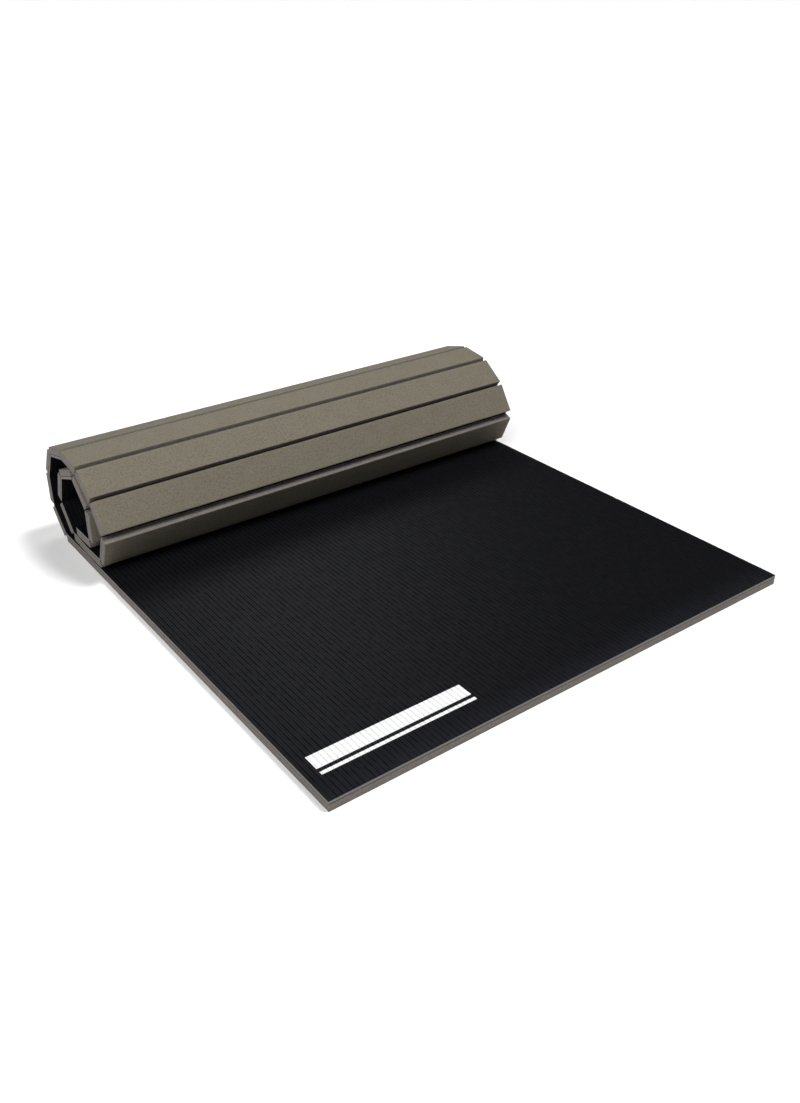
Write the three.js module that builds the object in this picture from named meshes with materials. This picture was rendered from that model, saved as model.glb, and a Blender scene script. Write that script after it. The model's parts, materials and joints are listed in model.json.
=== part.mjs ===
// Roll-out sports mat: a foam slab slit across its width into planks and held
// together by one textured vinyl cover on top, stored with its back half rolled up.
// Millimetres. +X along the slits (width), +Y towards the roll, +Z up.
// The origin is the bottom centre of the bounding box of the stored pose.
import * as THREE from 'three';

// ---- driving dimensions ----
const WIDTH = 1524;             // along the slits (5 ft)
const LENGTH = 3048;            // flat, unrolled (10 ft)
const FRONT_PLANKS = 9;         // free front end, lying flat, able to roll up
const BASE_PLANKS = 6;          // stays on the floor, carries the roll
const ROLL_PLANKS = 16;         // wound into the roll
const THICK = 30;               // foam and cover together
const COVER = 1.0;              // vinyl cover
const GLUE = 0.3;               // glue film between cover and foam
const SLIT = 1.0;               // slit between two foam planks
const COVER_SPLIT = 0.3;        // hinge line left between two cover strips
const WRAP_GAP = 1.0;           // least clearance between one wrap and the next
const REST_GAP = 1.5;           // most clearance where one wrap lies on the next

// Turn at each hinge in the stored pose, in degrees, outermost first.
const ROLL_TURNS = [46, 48, 27, 45, 22, 27.5, 22, 57, 64, 5.5, 46.5, 63, 46.5, 66, 49, 84];
// Which rolled plank (0 is the outermost) lies on which, -1 standing for the base.
const RESTS_ON = [[8, -1], [9, -1], [15, 9]];

// ---- derived ----
const PLANKS = FRONT_PLANKS + BASE_PLANKS + ROLL_PLANKS;
const PITCH = LENGTH / PLANKS;
const FOAM_GREY = new THREE.Color(0.2, 0.185, 0.16);
const VINYL_BLACK = new THREE.Color(0.012, 0.013, 0.016);

const foamMaterial = new THREE.MeshStandardMaterial({
  color: FOAM_GREY,
  roughness: 0.95,
  metalness: 0,
});
const vinylMaterial = new THREE.MeshStandardMaterial({
  color: VINYL_BLACK,
  roughness: 0.5,
  metalness: 0,
});

// ---- winding ----
// Seen from the end, each plank is a rectangle of points [along, up]. The base ends at
// [0, 0], on its cover's top face, and every rolled plank starts where the last one ends.

// A rectangle that runs from start in a direction (degrees) and has its foam on the outside.
function sideView(start, direction, length) {
  const angle = THREE.MathUtils.degToRad(direction);
  const along = [Math.cos(angle), Math.sin(angle)];
  const outward = [along[1], -along[0]];
  const point = (a, b) => [
    start[0] + along[0] * a + outward[0] * b,
    start[1] + along[1] * a + outward[1] * b,
  ];
  return [point(0, 0), point(length, 0), point(length, THICK), point(0, THICK)];
}

// Clearance between two rectangles, negative where they overlap.
function clearance(first, second) {
  let widest = -Infinity;
  for (const outline of [first, second]) {
    for (let i = 0; i < 2; i += 1) {
      const [from, to] = [outline[i], outline[i + 1]];
      const normal = [to[1] - from[1], from[0] - to[0]];
      const size = Math.hypot(...normal);
      const spans = [first, second].map((shape) => {
        const reach = shape.map((p) => (p[0] * normal[0] + p[1] * normal[1]) / size);
        return [Math.min(...reach), Math.max(...reach)];
      });
      widest = Math.max(widest, spans[1][0] - spans[0][1], spans[0][0] - spans[1][1]);
    }
  }
  return widest;
}

// How badly a set of turns breaks the clearances, in square millimetres.
function misfit(turns) {
  const base = sideView([-BASE_PLANKS * PITCH, 0], 0, BASE_PLANKS * PITCH);
  const planks = [];
  let start = [0, 0];
  let direction = 0;
  for (const turn of turns) {
    direction += turn;
    planks.push(sideView(start, direction, PITCH));
    start = planks.at(-1)[1];
  }
  const shape = (index) => (index < 0 ? base : planks[index]);
  let total = 0;
  for (let i = 0; i < planks.length; i += 1) {
    for (let j = -1; j < i - 1; j += 1) {
      total += Math.max(0, WRAP_GAP - clearance(shape(i), shape(j))) ** 2;
    }
  }
  for (const [upper, lower] of RESTS_ON) {
    total += Math.max(0, clearance(shape(upper), shape(lower)) - REST_GAP) ** 2;
  }
  return total;
}

// Eases the stored turns, a little at a time, until every wrap clears the next.
function wind(turns) {
  let best = [...turns];
  let left = misfit(best);
  for (let step = 2; left > 0 && step > 0.001; step /= 2) {
    let better = true;
    while (better && left > 0) {
      better = false;
      for (let i = 0; i < best.length; i += 1) {
        for (const change of [step, -step]) {
          const next = [...best];
          next[i] += change;
          const error = misfit(next);
          if (error < left) {
            [best, left, better] = [next, error, true];
          }
        }
      }
    }
  }
  return best;
}

const turns = wind(ROLL_TURNS);

// ---- pieces ----
const twoDigits = (number) => String(number).padStart(2, '0');

// A box between two stations along the flat mat, in the frame of the hinge it hangs on.
// from, to: along the plank; low, high: below and above the cover's top face (z = 0).
function strip(name, from, to, low, high, material) {
  const geometry = new THREE.BoxGeometry(WIDTH, Math.abs(to - from), high - low);
  const mesh = new THREE.Mesh(geometry, material);
  mesh.name = name;
  mesh.position.set(0, (from + to) / 2, (low + high) / 2);
  return mesh;
}

// The foam of one plank. free: this end is an end of the mat and has no slit.
function foamPlank(number, from, to, freeFrom, freeTo) {
  const sense = Math.sign(to - from);
  const start = freeFrom ? from : from + (sense * SLIT) / 2;
  const end = freeTo ? to : to - (sense * SLIT) / 2;
  return strip(`foam_plank_${twoDigits(number)}`, start, end, -THICK, -COVER - GLUE, foamMaterial);
}

// The cover over one plank or over a run of planks.
function coverStrip(name, from, to, freeFrom, freeTo) {
  const sense = Math.sign(to - from);
  const start = freeFrom ? from : from + (sense * COVER_SPLIT) / 2;
  const end = freeTo ? to : to - (sense * COVER_SPLIT) / 2;
  return strip(name, start, end, -COVER, 0, vinylMaterial);
}

const mat = new THREE.Group();
mat.name = 'roll_out_mat';

// Flat section that stays down: its own foam planks under one piece of cover.
const base = new THREE.Group();
base.name = 'base_section';
base.position.set(0, FRONT_PLANKS * PITCH, THICK);
for (let i = 0; i < BASE_PLANKS; i += 1) {
  base.add(foamPlank(FRONT_PLANKS + 1 + i, i * PITCH, (i + 1) * PITCH, false, false));
}
base.add(coverStrip('cover_base', 0, BASE_PLANKS * PITCH, false, false));
mat.add(base);

// Front planks: a chain of hinges running from the base towards the free edge, all flat.
let joint = base;
for (let i = 0; i < FRONT_PLANKS; i += 1) {
  const number = FRONT_PLANKS - i;
  const plank = new THREE.Group();
  plank.name = `front_hinge_${twoDigits(number)}`;
  plank.position.set(0, i === 0 ? 0 : -PITCH, 0);
  const last = i === FRONT_PLANKS - 1;
  plank.add(foamPlank(number, 0, -PITCH, false, last));
  plank.add(coverStrip(`cover_strip_${twoDigits(number)}`, 0, -PITCH, false, last));
  joint.add(plank);
  joint = plank;
}

// Rolled planks: a chain of hinges running from the base into the middle of the roll.
joint = base;
for (let i = 0; i < ROLL_PLANKS; i += 1) {
  const number = FRONT_PLANKS + BASE_PLANKS + 1 + i;
  const plank = new THREE.Group();
  plank.name = `roll_hinge_${twoDigits(number)}`;
  plank.position.set(0, i === 0 ? BASE_PLANKS * PITCH : PITCH, 0);
  plank.rotation.x = THREE.MathUtils.degToRad(turns[i]);
  const last = i === ROLL_PLANKS - 1;
  plank.add(foamPlank(number, 0, PITCH, false, last));
  plank.add(coverStrip(`cover_strip_${twoDigits(number)}`, 0, PITCH, false, last));
  joint.add(plank);
  joint = plank;
}

// Put the origin at the bottom centre of the stored pose. The corner points of every
// box are read exactly, so the turned ones add no slack.
mat.updateMatrixWorld(true);
const bounds = new THREE.Box3();
const corner = new THREE.Vector3();
mat.traverse((node) => {
  if (!node.isMesh) return;
  const points = node.geometry.getAttribute('position');
  for (let i = 0; i < points.count; i += 1) {
    bounds.expandByPoint(corner.fromBufferAttribute(points, i).applyMatrix4(node.matrixWorld));
  }
});
const centre = bounds.getCenter(new THREE.Vector3());
mat.position.set(-centre.x, -centre.y, -bounds.min.z);
mat.updateMatrixWorld(true);

export default mat;
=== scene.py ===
import json
import math

import bpy
import numpy as np
from mathutils import Matrix, Vector

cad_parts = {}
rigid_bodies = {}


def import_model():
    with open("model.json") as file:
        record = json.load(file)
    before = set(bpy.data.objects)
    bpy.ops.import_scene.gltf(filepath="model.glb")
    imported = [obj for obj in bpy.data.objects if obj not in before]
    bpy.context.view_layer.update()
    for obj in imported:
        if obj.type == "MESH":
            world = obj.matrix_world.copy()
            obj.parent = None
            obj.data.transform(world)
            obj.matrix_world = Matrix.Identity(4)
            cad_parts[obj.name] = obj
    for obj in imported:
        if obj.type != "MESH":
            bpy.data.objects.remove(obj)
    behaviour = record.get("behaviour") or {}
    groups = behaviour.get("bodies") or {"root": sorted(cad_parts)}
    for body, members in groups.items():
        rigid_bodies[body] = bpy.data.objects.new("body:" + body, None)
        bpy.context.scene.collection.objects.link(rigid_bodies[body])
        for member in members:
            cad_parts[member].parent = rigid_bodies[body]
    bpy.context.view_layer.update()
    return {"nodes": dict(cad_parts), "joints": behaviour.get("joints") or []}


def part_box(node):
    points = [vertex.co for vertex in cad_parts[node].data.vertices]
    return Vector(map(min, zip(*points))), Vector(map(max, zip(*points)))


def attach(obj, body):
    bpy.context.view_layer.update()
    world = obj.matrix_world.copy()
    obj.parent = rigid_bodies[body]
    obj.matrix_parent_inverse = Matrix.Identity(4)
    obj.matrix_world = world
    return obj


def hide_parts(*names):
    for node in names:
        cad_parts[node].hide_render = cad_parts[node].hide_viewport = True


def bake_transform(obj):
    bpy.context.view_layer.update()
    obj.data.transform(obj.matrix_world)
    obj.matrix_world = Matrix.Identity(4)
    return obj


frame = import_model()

# Roll-out sports mat: foam planks side by side under one ribbed vinyl cover, with the
# back half wound into a roll. Metres; X across the mat, Y along it, Z up.
#
# Three measures say where a point is on the mat when it is flat, and the materials and
# the placing both work from them:
#   across   X, from one long edge to the other
#   station  the distance from the free front edge, along the mat
#   depth    the distance down from the top of the cover

# ---- sizes from the frame ----
JOINTS = {joint["name"]: joint for joint in frame["joints"]}
PLANKS = sum(name.startswith("foam_plank_") for name in frame["nodes"])
FRONT = sum(name.startswith("front_hinge_") for name in JOINTS)      # planks 1 to FRONT
ROLL = sum(name.startswith("roll_hinge_") for name in JOINTS)        # the last ROLL planks
BASE_LAST = PLANKS - ROLL                                            # last plank lying flat
BASE_LOW, BASE_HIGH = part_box("cover_base")
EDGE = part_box("cover_strip_01")[0].y                                 # the free front edge
LEFT, RIGHT = BASE_LOW.x, BASE_HIGH.x
WIDTH = RIGHT - LEFT
TOP = BASE_HIGH.z
COVER = BASE_HIGH.z - BASE_LOW.z
PITCH = (BASE_HIGH.y - EDGE) / BASE_LAST

# ---- sizes of the details ----
RIBS = 108                  # straw ribs across the width
RIB_START = 0.25            # the mat's edges fall on a straw, a quarter rib from a groove
COLUMNS = 12                # mesh columns in each rib
CROWDING = 0.75             # how strongly the columns gather at the grooves and seams
GROOVE_DEPTH = 0.0006
GROOVE_REACH = 0.0016       # from the middle of a groove to where it fades out
SEAM_DEPTH = 0.00025        # the shallow line down the middle of each rib
SEAM_REACH = 0.0011
BEND = 0.004                # how far the cover's bend reaches either side of a hinge
SETTLE = 80                 # rounds in which the bend's shape settles
SLIT = 0.0005               # half of the slit between two planks
FOAM_TOP = 0.0011           # depth at which the foam starts
PLY = 0.0088                # depth of the glue line between the two plies of foam
GLUE_DEPTH = 0.00028        # how far the glue line is pressed into the cut edges
GLUE_REACH = 0.0003
ROUND = 0.0009              # rounding of the foam's cut edges
RELIEF = 0.00045            # how far the foam falls away under the cover's bend
UNEVEN = 0.00012            # size of the slow waves in the foam's skin
SLAB_COLUMNS = 45           # mesh columns and rows in a slab's faces
SLAB_ROWS = 8
STRAW_STEP = 0.0028         # spacing of the cross threads on each straw

PRINT_SIDES = (0.035, 0.475)    # the corner print's two ends, from the left edge
PRINT_BAND = (0.100, 0.147)     # stations of its broad band
PRINT_LINE = (0.078, 0.088)     # stations of the thin line in front of the band
PRINT_EDGE = 0.0004             # how softly its edges end

# ---- colours, in linear red, green and blue ----
SKIN_DARK = (0.108, 0.096, 0.072)       # foam, on its outer skin
SKIN_LIGHT = (0.176, 0.159, 0.121)
SKIN_BLOTCH = (0.165, 0.148, 0.113)
SKIN_GRAIN = (0.088, 0.076, 0.056)
CORE_DARK = (0.135, 0.121, 0.110)       # foam where it is cut
CORE_LIGHT = (0.190, 0.174, 0.160)
CORE_STREAK = (0.125, 0.108, 0.098)
CORE_MARK = (0.095, 0.084, 0.077)
CORE_TOP_PLY = (0.195, 0.186, 0.176)
# painted shade: the colour the cut foam darkens to towards its bottom, standing for contact shadow
# at the floor
PAINTED_FOOT_SHADE = (0.090, 0.076, 0.064)
GLUE_LINE = (0.020, 0.016, 0.014)
STRAW_DARK = (0.0018, 0.0018, 0.0024)   # vinyl
STRAW_LIGHT = (0.0052, 0.0052, 0.0070)
STRAW_THREAD = (0.0014, 0.0014, 0.0018)
# painted shade: the colour the pressed grooves and seams are darkened to
STRAW_GROOVE_SHADE = (0.0005, 0.0005, 0.0007)
PRINT_DULL = (0.70, 0.70, 0.70)
PRINT_WHITE = (0.86, 0.86, 0.86)
FLOOR_DARK = (0.885, 0.885, 0.885)
FLOOR_LIGHT = (0.9, 0.9, 0.9)


class Plank:
    """Where one plank lies at rest: its first station, that point's Y and Z, and its slope."""

    def __init__(self, number, start, y, z, angle):
        self.number, self.start, self.y, self.z, self.angle = number, start, y, z, angle
        if number <= FRONT:
            self.body = f"front_plank_{number:02d}"
        elif number <= BASE_LAST:
            self.body = "base_section"
        else:
            self.body = f"roll_plank_{number:02d}"

    def lay(self, flat):
        """Points given as (across, station, depth), put where this plank carries them."""
        across, station, depth = flat.T
        cosine, sine = math.cos(self.angle), math.sin(self.angle)
        along = station - self.start
        return np.stack(
            [
                across,
                self.y + cosine * along + sine * depth,
                self.z + sine * along - cosine * depth,
            ],
            axis=1,
        )


def find_planks():
    """Every plank by its number: the flat ones in a row, then the roll, hinge by hinge."""
    planks = {}
    for number in range(1, BASE_LAST + 1):
        start = (number - 1) * PITCH
        planks[number] = Plank(number, start, EDGE + start, TOP, 0.0)
    angle = 0.0
    for number in range(BASE_LAST + 1, PLANKS + 1):
        hinge = JOINTS[f"roll_hinge_{number:02d}"]
        # a hinge opens by as much as its plank is turned when rolled
        angle += math.radians(hinge["range_deg"][1])
        y, z = hinge["pos_m"][1:]
        planks[number] = Plank(number, (number - 1) * PITCH, y, z, angle)
    return planks


planks = find_planks()


# ---- materials ----
class Value:
    """A number that varies over a surface. Arithmetic on it adds Math nodes."""

    def __init__(self, graph, socket):
        self.graph, self.socket = graph, socket

    def __add__(self, other):
        return self.graph.maths("ADD", self, other)

    def __sub__(self, other):
        return self.graph.maths("SUBTRACT", self, other)

    def __mul__(self, other):
        return self.graph.maths("MULTIPLY", self, other)

    def __truediv__(self, other):
        return self.graph.maths("DIVIDE", self, other)

    def __radd__(self, other):
        return self.graph.maths("ADD", other, self)

    def __rsub__(self, other):
        return self.graph.maths("SUBTRACT", other, self)

    def __rmul__(self, other):
        return self.graph.maths("MULTIPLY", other, self)

    def __rtruediv__(self, other):
        return self.graph.maths("DIVIDE", other, self)

    def __abs__(self):
        return self.graph.maths("ABSOLUTE", self)

    def fraction(self):
        return self.graph.maths("FRACT", self)

    def whole(self):
        return self.graph.maths("FLOOR", self)

    def sine(self):
        return self.graph.maths("SINE", self)

    def most(self, other):
        return self.graph.maths("MAXIMUM", self, other)

    def fade(self, low, high):
        """0 below low, 1 above high, smooth between them."""
        return self.graph.read(
            "ShaderNodeMapRange",
            "Result",
            {"interpolation_type": "SMOOTHSTEP"},
            {"Value": self, "From Min": low, "From Max": high},
        )

    def within(self, low, high, soft):
        """1 between low and high, 0 outside them, with edges that take soft to fade."""
        return self.fade(low - soft, low) * (1 - self.fade(high, high + soft))


class Graph:
    """A node tree, and the one way that nodes are added to it."""

    def __init__(self, tree):
        self.tree = tree
        self.tree.nodes.clear()

    def node(self, kind, settings, sockets):
        """Adds a node: its settings first, then the values or links of its sockets."""
        node = self.tree.nodes.new(kind)
        for name, value in settings.items():
            setattr(node, name, value)
        for name, value in sockets.items():
            self.feed(node.inputs[name], value)
        return node

    def feed(self, socket, value):
        if isinstance(value, Value):
            value = value.socket
        if isinstance(value, bpy.types.NodeSocket):
            self.tree.links.new(value, socket)
        else:
            socket.default_value = value

    def read(self, kind, output, settings, sockets):
        """Adds a node and gives one of its outputs as a Value."""
        return Value(self, self.node(kind, settings, sockets).outputs[output])

    def maths(self, operation, *values):
        return self.read(
            "ShaderNodeMath", "Value", {"operation": operation}, dict(enumerate(values))
        )


class Finish(Graph):
    """A material."""

    def __init__(self, name, **shader):
        self.material = bpy.data.materials.new(name)
        self.material.use_nodes = True
        super().__init__(self.material.node_tree)
        self.shader = self.node("ShaderNodeBsdfPrincipled", {}, shader)
        self.node("ShaderNodeOutputMaterial", {}, {"Surface": self.shader.outputs["BSDF"]})

    def flat(self):
        """The piece's own flat-mat coordinates: the vector, and its three parts."""
        attribute = self.node("ShaderNodeAttribute", {"attribute_name": "flat"}, {})
        vector = attribute.outputs["Vector"]
        parts = self.node("ShaderNodeSeparateXYZ", {}, {"Vector": vector})
        return vector, *(Value(self, parts.outputs[axis]) for axis in "XYZ")

    def noise(self, vector, size, detail=2.0, roughness=0.5):
        """Soft random spots of about that size, in metres."""
        sockets = {"Vector": vector, "Scale": 1 / size, "Detail": detail, "Roughness": roughness}
        return self.read("ShaderNodeTexNoise", "Fac", {}, sockets)

    def stretched(self, vector, scale):
        """The coordinates, stretched differently each way."""
        times = {"operation": "MULTIPLY"}
        return self.node("ShaderNodeVectorMath", times, {0: vector, 1: scale}).outputs["Vector"]

    def mix(self, amount, first, second):
        """A colour between two others."""
        node = self.node("ShaderNodeMix", {"data_type": "RGBA"}, {"Factor": amount})
        colours = [socket for socket in node.inputs if socket.type == "RGBA"]
        for socket, colour in zip(colours, (first, second)):
            self.feed(socket, colour if isinstance(colour, bpy.types.NodeSocket) else (*colour, 1))
        return next(socket for socket in node.outputs if socket.type == "RGBA")

    def shade(self, name, value):
        """Feeds one of the shader's sockets."""
        self.feed(self.shader.inputs[name], value)

    def bump(self, height, distance):
        """A bump whose height of 1 stands that far out, in metres."""
        bump = self.node("ShaderNodeBump", {}, {"Height": height, "Distance": distance})
        self.shade("Normal", bump.outputs["Normal"])


def make_foam():
    """Taupe closed-cell foam: fine cells, faint blotches, greyer and coarser where it is cut."""
    finish = Finish("closed_cell_foam", **{"Specular IOR Level": 0.18})
    vector, _, _, depth = finish.flat()
    cut = finish.read("ShaderNodeAttribute", "Fac", {"attribute_name": "cut"}, {})
    cells = finish.noise(vector, 0.0011, 3.0, 0.6)
    grains = finish.noise(vector, 0.006, 3.0, 0.6)
    blotches = finish.noise(vector, 0.045, 3.0)
    streaks = finish.noise(finish.stretched(vector, (1.0, 9.0, 9.0)), 0.03)
    marks = finish.noise(finish.stretched(vector, (1.0, 1.0, 0.15)), 0.003)

    skin = finish.mix(cells.fade(0.3, 0.7), SKIN_DARK, SKIN_LIGHT)
    skin = finish.mix(0.4 * blotches.fade(0.3, 0.7), skin, SKIN_BLOTCH)
    skin = finish.mix(0.6 * grains.fade(0.45, 0.65), skin, SKIN_GRAIN)

    core = finish.mix(grains.fade(0.3, 0.7), CORE_DARK, CORE_LIGHT)
    core = finish.mix(0.5 * streaks.fade(0.4, 0.7), core, CORE_STREAK)
    core = finish.mix(0.6 * marks.fade(0.45, 0.75), core, CORE_MARK)
    top_ply = 1 - depth.fade(PLY - 0.0004, PLY)
    core = finish.mix(0.5 * top_ply, core, CORE_TOP_PLY)
    glue = depth.within(PLY - 0.0006, PLY + 0.0010, 0.0005)
    core = finish.mix(0.9 * glue, core, GLUE_LINE)
    # painted shade: the cut faces darken towards the bottom of the foam, for contact shadow at the
    # foot
    core = finish.mix(0.25 * depth.fade(0.016, 0.030), core, PAINTED_FOOT_SHADE)

    finish.shade("Base Color", finish.mix(cut, skin, core))
    finish.shade("Roughness", 0.72 + 0.16 * cells + 0.08 * cut)
    finish.bump(cells * (0.5 + 0.5 * cut) + 0.8 * grains + marks * cut, 0.00016)
    return finish.material


def make_vinyl():
    """Black vinyl pressed with straw ribs: grooves darkened with painted shade, fine cross threads,
    a white print.
    """
    gloss = {"Specular IOR Level": 0.12, "Specular Tint": (0.80, 0.84, 1.0, 1.0)}
    finish = Finish("ribbed_black_vinyl", **gloss)
    vector, across, station, depth = finish.flat()
    rib = (across - LEFT) * (RIBS / WIDTH) + RIB_START
    from_groove = abs((rib + 0.5).fraction() - 0.5) * (WIDTH / RIBS)
    from_seam = abs(rib.fraction() - 0.5) * (WIDTH / RIBS)
    groove = 1 - from_groove.fade(0.0010, 0.0030)
    seam = 1 - from_seam.fade(0.0003, 0.0016)

    # each half rib is one straw, and its cross threads are half a step off its neighbour's
    straw = (2 * rib).whole()
    thread = (station / STRAW_STEP + 0.5 * straw).fraction()
    threads = (abs(thread - 0.5) * 2).fade(0.25, 0.8)
    grain = finish.noise(vector, 0.0016, 3.0, 0.6)
    fibres = finish.noise(finish.stretched(vector, (6.0, 1.0, 1.0)), 0.02, 3.0, 0.6)
    patches = finish.noise(vector, 0.16, 3.0)
    # the lines' painted shade and roughness are stronger in some places than in others, as if
    # pressed deeper there
    dashes = finish.noise(finish.stretched(vector, (1.0, 0.35, 1.0)), 0.012)
    pressed = (0.95 * groove).most(0.6 * seam) * (0.4 + 0.6 * dashes.fade(0.38, 0.58))

    black = finish.mix(fibres.fade(0.3, 0.7), STRAW_DARK, STRAW_LIGHT)
    black = finish.mix(0.5 * threads, black, STRAW_THREAD)
    # painted shade: the pressed grooves and seams are darkened
    black = finish.mix(pressed, black, STRAW_GROOVE_SHADE)

    # a plain band and a thin line, printed on the top face in the front left corner
    along = station.within(*PRINT_BAND, PRINT_EDGE) + station.within(*PRINT_LINE, PRINT_EDGE)
    printed = along * (across - LEFT).within(*PRINT_SIDES, PRINT_EDGE)
    printed = printed * (1 - depth.fade(0.0007, 0.0009))
    white = finish.mix(grain.fade(0.3, 0.8), PRINT_DULL, PRINT_WHITE)
    worn = printed * (1 - 0.5 * groove * grain.fade(0.45, 0.6))

    finish.shade("Base Color", finish.mix(worn, black, white))
    finish.shade("Roughness", 0.31 + 0.12 * grain + 0.10 * patches + 0.48 * pressed)
    finish.bump(grain * 0.35 + fibres * 0.25 - 0.8 * threads * (1 - groove), 0.00018)
    return finish.material


def make_floor():
    """Plain pale studio floor."""
    finish = Finish("studio_floor", **{"Specular IOR Level": 0.0, "Roughness": 0.9})
    coordinates = finish.node("ShaderNodeTexCoord", {}, {}).outputs["Object"]
    tone = finish.noise(coordinates, 0.5)
    finish.shade("Base Color", finish.mix(tone, FLOOR_DARK, FLOOR_LIGHT))
    return finish.material


FOAM = make_foam()
VINYL = make_vinyl()
FLOOR = make_floor()


# ---- mesh helpers ----
def new_piece(name, points, faces, material=None, edges=()):
    """A new object at the origin, with its place in its mesh."""
    mesh = bpy.data.meshes.new(name)
    mesh.from_pydata([tuple(p) for p in points], edges, faces)
    if material:
        mesh.materials.append(material)
    piece = bpy.data.objects.new(name, mesh)
    bpy.context.scene.collection.objects.link(piece)
    return piece


def smooth_over(mesh, degrees):
    """Smooth shading, with a crisp edge wherever the surface turns by more than degrees."""
    mesh.shade_smooth()
    mesh.set_sharp_from_angle(angle=math.radians(degrees))


def write_attribute(mesh, name, kind, values):
    """Keeps a value at each point of the mesh, for its material to read."""
    attribute = mesh.attributes.get(name) or mesh.attributes.new(name, kind, "POINT")
    field = "vector" if kind == "FLOAT_VECTOR" else "value"
    attribute.data.foreach_set(field, np.asarray(values, np.float32).ravel())


# ---- vinyl cover ----
class ShapeTree(Graph):
    """A Geometry Nodes tree, with named inputs and one geometry out."""

    def __init__(self, name, inputs):
        super().__init__(bpy.data.node_groups.new(name, "GeometryNodeTree"))
        add = self.tree.interface.new_socket
        self.ids = {n: add(n, in_out="INPUT", socket_type=kind).identifier for n, kind in inputs}
        add("Geometry", in_out="OUTPUT", socket_type="NodeSocketGeometry")
        self.given = self.node("NodeGroupInput", {}, {}).outputs
        self.result = self.node("NodeGroupOutput", {}, {}).inputs["Geometry"]

    def number(self, name):
        return Value(self, self.given[name])


def ribbing_tree():
    """The tree that sweeps a side outline across the mat and presses ribs into its top."""
    shape = ShapeTree(
        "ribbed_cover",
        [
            ("Side Outline", "NodeSocketGeometry"),
            ("Left Edge", "NodeSocketFloat"),
            ("Rib Width", "NodeSocketFloat"),
            ("Ribs", "NodeSocketInt"),
            ("Columns per Rib", "NodeSocketInt"),
            ("Groove Depth", "NodeSocketFloat"),
            ("Groove Reach", "NodeSocketFloat"),
            ("Seam Depth", "NodeSocketFloat"),
            ("Seam Reach", "NodeSocketFloat"),
            ("Thickness", "NodeSocketFloat"),
            ("Material", "NodeSocketMaterial"),
        ],
    )
    node, read, number = shape.node, shape.read, shape.number

    def store(geometry, name, kind, value):
        settings = {"data_type": kind, "domain": "POINT"}
        sockets = {"Geometry": geometry, "Name": name, "Value": value}
        return node("GeometryNodeStoreNamedAttribute", settings, sockets).outputs["Geometry"]

    # the side outline keeps its station and depth
    drawn = shape.given["Side Outline"]
    outline = node("GeometryNodeMeshToCurve", {}, {"Mesh": drawn}).outputs["Curve"]
    position = node("GeometryNodeInputPosition", {}, {}).outputs["Position"]
    outline = store(outline, "side", "FLOAT_VECTOR", position)

    # columns across the mat, closer together at the grooves and seams
    ribs, columns = number("Ribs"), number("Columns per Rib")
    line = node("GeometryNodeCurvePrimitiveLine", {}, {"End": (1.0, 0.0, 0.0)}).outputs["Curve"]
    line = node(
        "GeometryNodeResampleCurve", {"mode": "COUNT"}, {"Curve": line, "Count": ribs * columns + 1}
    ).outputs["Curve"]
    step = read("GeometryNodeInputIndex", "Index", {}, {}) / columns
    twice_a_rib = 4 * math.pi
    crowded = step + (CROWDING / twice_a_rib) * (twice_a_rib * step).sine()
    line = store(line, "rib", "FLOAT", crowded + RIB_START)

    swept = node(
        "GeometryNodeCurveToMesh", {}, {"Curve": line, "Profile Curve": outline, "Fill Caps": True}
    ).outputs["Mesh"]

    side = node(
        "GeometryNodeInputNamedAttribute", {"data_type": "FLOAT_VECTOR"}, {"Name": "side"}
    ).outputs["Attribute"]
    parts = node("ShaderNodeSeparateXYZ", {}, {"Vector": side}).outputs
    station, depth = Value(shape, parts["X"]), Value(shape, parts["Y"])
    rib = read(
        "GeometryNodeInputNamedAttribute", "Attribute", {"data_type": "FLOAT"}, {"Name": "rib"}
    )
    across = number("Left Edge") + (rib - RIB_START) * number("Rib Width")

    from_groove = abs((rib + 0.5).fraction() - 0.5) * number("Rib Width")
    from_seam = abs(rib.fraction() - 0.5) * number("Rib Width")
    pressed = (1 - from_groove.fade(0.0, number("Groove Reach"))) * number("Groove Depth")
    pressed = pressed + (1 - from_seam.fade(0.0, number("Seam Reach"))) * number("Seam Depth")
    on_top = 1 - (depth / number("Thickness")).fade(0.3, 0.9)
    surface = depth + pressed * on_top
    sockets = {"X": across, "Y": station, "Z": surface}
    flat = node("ShaderNodeCombineXYZ", {}, sockets).outputs["Vector"]
    placed = node(
        "GeometryNodeSetPosition", {}, {"Geometry": swept, "Position": flat}
    ).outputs["Geometry"]
    placed = node("GeometryNodeRealizeInstances", {}, {"Geometry": placed}).outputs["Geometry"]
    placed = node(
        "GeometryNodeSetMaterial", {}, {"Geometry": placed, "Material": shape.given["Material"]}
    ).outputs["Geometry"]
    shape.feed(shape.result, placed)
    return shape


RIBBING = ribbing_tree()


def side_outline(first, last, hinge=None, free_first=False, free_last=False):
    """The cover's side outline as (station, depth), closer together where it bends."""
    bends = []
    if hinge:
        bends = [hinge + share * BEND for share in (-1, -0.7, -0.35, 0, 0.35, 0.7, 1)]
    top = [(first, 0.0)] + [(s, 0.0) for s in bends] + [(last, 0.0)]
    bottom = [(last, COVER)] + [(s, COVER) for s in reversed(bends[::2])] + [(first, COVER)]
    soft = 0.0003                    # the cut edge at an end of the mat is a little rounded
    if free_first:
        top[0:1] = [(first, soft), (first + soft, 0.0)]
    if free_last:
        top[-1:] = [(last - soft, 0.0), (last, soft)]
    return top + bottom


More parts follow.
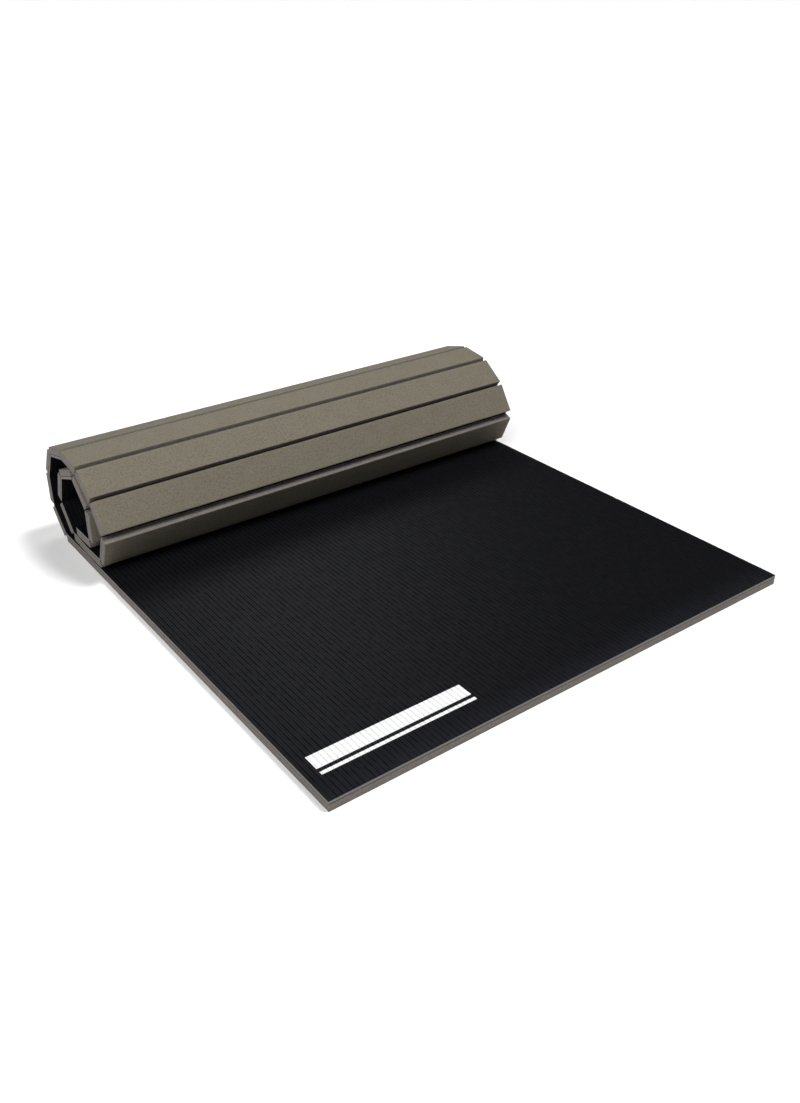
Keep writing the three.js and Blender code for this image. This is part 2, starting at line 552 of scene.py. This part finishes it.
def ribbed_sheet(name, outline):
    """The ribbed cover over that outline, flat: its points are (across, station, depth)."""
    ring = [(i, (i + 1) % len(outline)) for i in range(len(outline))]
    piece = new_piece(name, [(s, d, 0.0) for s, d in outline], [], edges=ring)
    ribbing = piece.modifiers.new("ribbing", "NODES")
    ribbing.node_group = RIBBING.tree
    for label, value in (
        ("Left Edge", LEFT),
        ("Rib Width", WIDTH / RIBS),
        ("Ribs", RIBS),
        ("Columns per Rib", COLUMNS),
        ("Groove Depth", GROOVE_DEPTH),
        ("Groove Reach", GROOVE_REACH),
        ("Seam Depth", SEAM_DEPTH),
        ("Seam Reach", SEAM_REACH),
        ("Thickness", COVER),
        ("Material", VINYL),
    ):
        ribbing[RIBBING.ids[label]] = value
    made = bpy.data.meshes.new_from_object(
        piece.evaluated_get(bpy.context.evaluated_depsgraph_get())
    )
    made.name = name
    piece.modifiers.clear()
    piece.data = made
    for attribute in ("side", "rib"):
        if attribute in made.attributes:
            made.attributes.remove(made.attributes[attribute])
    return piece


def points_of(mesh):
    """The mesh's points, one row each."""
    points = np.zeros(len(mesh.vertices) * 3)
    mesh.vertices.foreach_get("co", points)
    return points.reshape(-1, 3)


def place(piece, flat, points):
    """Gives a piece its final points, and keeps where each was on the flat mat."""
    mesh = piece.data
    mesh.vertices.foreach_set("co", points.astype(np.float32).ravel())
    write_attribute(mesh, "flat", "FLOAT_VECTOR", flat)
    mesh.update()


def bend_over(flat, before, after):
    """The cover laid on plank before, and turned about its hinge to lie on plank after."""
    turn = after.angle - before.angle
    points = before.lay(flat)
    hinge = np.array([after.y, after.z])
    leaving = np.array([math.cos(before.angle), math.sin(before.angle)])
    arriving = np.array([math.cos(after.angle), math.sin(after.angle)])
    start, chord = -BEND * leaving, BEND * (leaving + arriving)
    arm = points[:, 1:] - hinge
    share = np.zeros(len(points))
    for _ in range(SETTLE):
        cosine, sine = np.cos(share * turn), np.sin(share * turn)
        turned = np.stack(
            [cosine * arm[:, 0] - sine * arm[:, 1], sine * arm[:, 0] + cosine * arm[:, 1]], axis=1
        )
        t = np.clip((turned - start) @ chord / (chord @ chord), 0, 1)
        share = t * t * (3 - 2 * t)
    points[:, 1:] = hinge + turned
    ends = [(0.0, *(hinge + end)) for end in (start, start + chord)]
    return points, ends


def make_cover():
    """The cover in pieces cut along the middles of the planks, one over each hinge."""
    hinges = [n for n in range(1, PLANKS) if not FRONT < n < BASE_LAST]
    for number in hinges:
        before, after = planks[number], planks[number + 1]
        free_first, free_last = number == hinges[0], number == hinges[-1]
        first = 0.0 if free_first else (number - 0.5) * PITCH
        last = PLANKS * PITCH if free_last else (number + 0.5) * PITCH
        outline = side_outline(first, last, number * PITCH, free_first, free_last)
        piece = ribbed_sheet(f"cover_over_hinge_{number:02d}", outline)
        flat = points_of(piece.data)
        points, (start, end) = bend_over(flat, before, after)
        place(piece, flat, points)
        smooth_over(piece.data, 70)
        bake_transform(piece)
        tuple(start)
        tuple(end)
        strips = [f"cover_strip_{n:02d}" for n in (number, number + 1)]
        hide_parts(*(n for n in strips if n in frame["nodes"]))
        last - first

    first, last = (FRONT + 0.5) * PITCH, (BASE_LAST - 0.5) * PITCH
    piece = ribbed_sheet("cover_over_base", side_outline(first, last))
    flat = points_of(piece.data)
    place(piece, flat, planks[BASE_LAST].lay(flat))
    smooth_over(piece.data, 70)
    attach(piece, "base_section")
    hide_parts("cover_base")
    last - first


# ---- foam planks ----
def spaced(low, high, inside):
    """Places along one side of a slab: close together at the rounded edges, inside between."""
    edge = [0.0, 0.35 * ROUND, ROUND]
    return [low + e for e in edge] + list(inside) + [high - e for e in reversed(edge)]


def slab_surface(across, along, deep):
    """Points and faces of a box's surface with those places along its three sides."""
    sides = (across, along, deep)
    index, points, faces = {}, [], []

    def point(key):
        if key not in index:
            index[key] = len(points)
            points.append([side[i] for side, i in zip(sides, key)])
        return index[key]

    for axis in range(3):
        u, v = (axis + 1) % 3, (axis + 2) % 3
        for end in (0, len(sides[axis]) - 1):
            for i in range(len(sides[u]) - 1):
                for j in range(len(sides[v]) - 1):
                    corners = []
                    for a, b in ((i, j), (i + 1, j), (i + 1, j + 1), (i, j + 1)):
                        key = [0, 0, 0]
                        key[axis], key[u], key[v] = end, a, b
                        corners.append(point(tuple(key)))
                    faces.append(corners if end else corners[::-1])
    return np.array(points), faces


def foam_slab(plank):
    """One plank of foam: rounded cut edges, a glue line all round, a slightly uneven skin."""
    start, end = plank.start, plank.start + PITCH
    low = start + (0.0 if plank.number == 1 else SLIT)
    high = end - (0.0 if plank.number == PLANKS else SLIT)
    across = spaced(LEFT, RIGHT, np.linspace(LEFT, RIGHT, SLAB_COLUMNS + 1)[1:-1])
    along = spaced(low, high, np.linspace(low, high, SLAB_ROWS + 1)[1:-1])
    deep = spaced(FOAM_TOP, TOP, [PLY - 0.0005, PLY, PLY + 0.0005, 0.013, 0.021])
    flat, faces = slab_surface(across, along, deep)

    lows = np.array([LEFT, low, FOAM_TOP]) + ROUND
    highs = np.array([RIGHT, high, TOP]) - ROUND
    core = np.clip(flat, lows, highs)
    out = flat - core
    reach = np.linalg.norm(out, axis=1, keepdims=True)
    out = out / np.maximum(reach, 1e-9)
    shaped = core + out * ROUND * (reach > 0)

    x, s, d = shaped.T
    # the glue line is pressed in a little
    pressed = GLUE_DEPTH * np.exp(-(((d - PLY) / GLUE_REACH) ** 2))
    sideways = np.where(np.abs(out[:, 2]) < 0.5, 1.0, 0.0)
    shaped[:, 0] -= out[:, 0] * pressed * sideways
    shaped[:, 1] -= out[:, 1] * pressed * sideways
    # the skin is not quite even, and fades to true within these distances of the edges
    ends, sides = 0.03, 0.012
    inner = np.clip((x - LEFT) / ends, 0, 1) * np.clip((RIGHT - x) / ends, 0, 1)
    inner *= np.clip((s - low) / sides, 0, 1) * np.clip((high - s) / sides, 0, 1)
    waves = np.sin(x * 21 + plank.number * 1.7) * np.sin(s * 43 + 0.6)
    waves = waves + 0.6 * np.sin(x * 57 + s * 31 + plank.number * 2.9)
    skin = np.clip(out[:, 2], 0, 1)
    shaped[:, 2] -= skin * inner * UNEVEN * (1.6 + waves)
    # room for the cover where it bends
    from_hinge = np.minimum(np.abs(s - start), np.abs(s - end))
    near = np.clip(from_hinge / (BEND + 0.0005), 0, 1)
    fall = 1 - near ** 2 * (3 - 2 * near)
    shaped[:, 2] += np.clip(-out[:, 2], 0, 1) * RELIEF * fall

    piece = new_piece(f"foam_slab_{plank.number:02d}", plank.lay(shaped), faces, FOAM)
    write_attribute(piece.data, "flat", "FLOAT_VECTOR", shaped)
    write_attribute(piece.data, "cut", "FLOAT", 1 - skin ** 2)
    smooth_over(piece.data, 40)
    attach(piece, plank.body)
    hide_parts(f"foam_plank_{plank.number:02d}")


# ---- studio ----
CAMERA_AT = (-1.603, -2.1815, 1.557)
CAMERA_TURN = (36.5, 29.7, -0.37)   # degrees: heading off Y, dip below level, tilt
LENS, SENSOR = 33.75, 36.0
ROOM = 0.05                         # strength of the dim room
# the lights in the sky: towards what, the cosines where it starts and is full, and how strong
KEY = ((0.37, -0.27, 0.89), (0.983, 0.997), 37.0)
FILL = ((-0.65, -0.33, 0.69), (0.89, 0.98), 5.2)
FLOOR_HALF = 150.0


def make_camera():
    """The camera, in front of the mat's near left corner and looking down at it."""
    camera = bpy.data.objects.new("camera", bpy.data.cameras.new("camera"))
    bpy.context.scene.collection.objects.link(camera)
    heading, dip, tilt = (math.radians(degrees) for degrees in CAMERA_TURN)
    forward = np.array(
        [math.sin(heading) * math.cos(dip), math.cos(heading) * math.cos(dip), -math.sin(dip)]
    )
    level = np.array([math.cos(heading), -math.sin(heading), 0.0])
    upright = np.cross(level, forward)
    right = math.cos(tilt) * level + math.sin(tilt) * upright
    up = math.cos(tilt) * upright - math.sin(tilt) * level
    turn = Matrix([list(row) for row in np.stack([right, up, -forward], axis=1)])
    camera.matrix_world = Matrix.Translation(CAMERA_AT) @ turn.to_4x4()
    camera.data.sensor_width = SENSOR
    camera.data.lens = LENS
    camera.data.clip_start, camera.data.clip_end = 0.05, 500.0
    bpy.context.scene.camera = camera


def softbox(name, place_at, aim, size, power):
    """A soft rectangular lamp at place_at, facing aim."""
    light = bpy.data.lights.new(name, "AREA")
    light.shape = "RECTANGLE"
    light.size, light.size_y = size
    light.energy = power
    lamp = bpy.data.objects.new(name, light)
    bpy.context.scene.collection.objects.link(lamp)
    lamp.location = place_at
    lamp.rotation_euler = (Vector(place_at) - Vector(aim)).to_track_quat("Z", "Y").to_euler()


def make_studio():
    """Floor, sky light and softboxes."""
    signs = ((-1, -1), (1, -1), (1, 1), (-1, 1))
    corners = [(x * FLOOR_HALF, y * FLOOR_HALF, 0) for x, y in signs]
    new_piece("floor", corners, [(0, 1, 2, 3)], FLOOR)
    scene = bpy.context.scene
    scene.view_settings.view_transform = "Standard"
    scene.world = bpy.data.worlds.new("studio")
    scene.world.use_nodes = True
    # a dim room with a key light high on the right and a broader fill on the left; seen
    # directly, the room is plain white
    sky = Graph(scene.world.node_tree)
    direction = sky.node("ShaderNodeTexCoord", {}, {}).outputs["Generated"]
    tone = ROOM
    for aim, soft, strength in (KEY, FILL):
        sockets = {0: direction, 1: Vector(aim).normalized()}
        towards = sky.read("ShaderNodeVectorMath", "Value", {"operation": "DOT_PRODUCT"}, sockets)
        tone = tone + strength * towards.fade(*soft)
    seen = sky.read("ShaderNodeLightPath", "Is Camera Ray", {}, {})
    tone = tone * (1 - seen) + seen
    light = sky.node("ShaderNodeBackground", {}, {"Color": (1.0, 1.0, 1.0, 1.0), "Strength": tone})
    sky.node("ShaderNodeOutputWorld", {}, {"Surface": light.outputs["Background"]})
    softbox("back", (0.85, 2.3, 2.35), (-0.5, -0.4, 0.0), (1.6, 1.0), 25.0)
    softbox("fill", (-2.2, -0.65, 2.6), (-0.6, 0.3, 0.2), (1.0, 1.0), 18.0)


make_camera()
make_studio()
for plank in planks.values():
    foam_slab(plank)
make_cover()
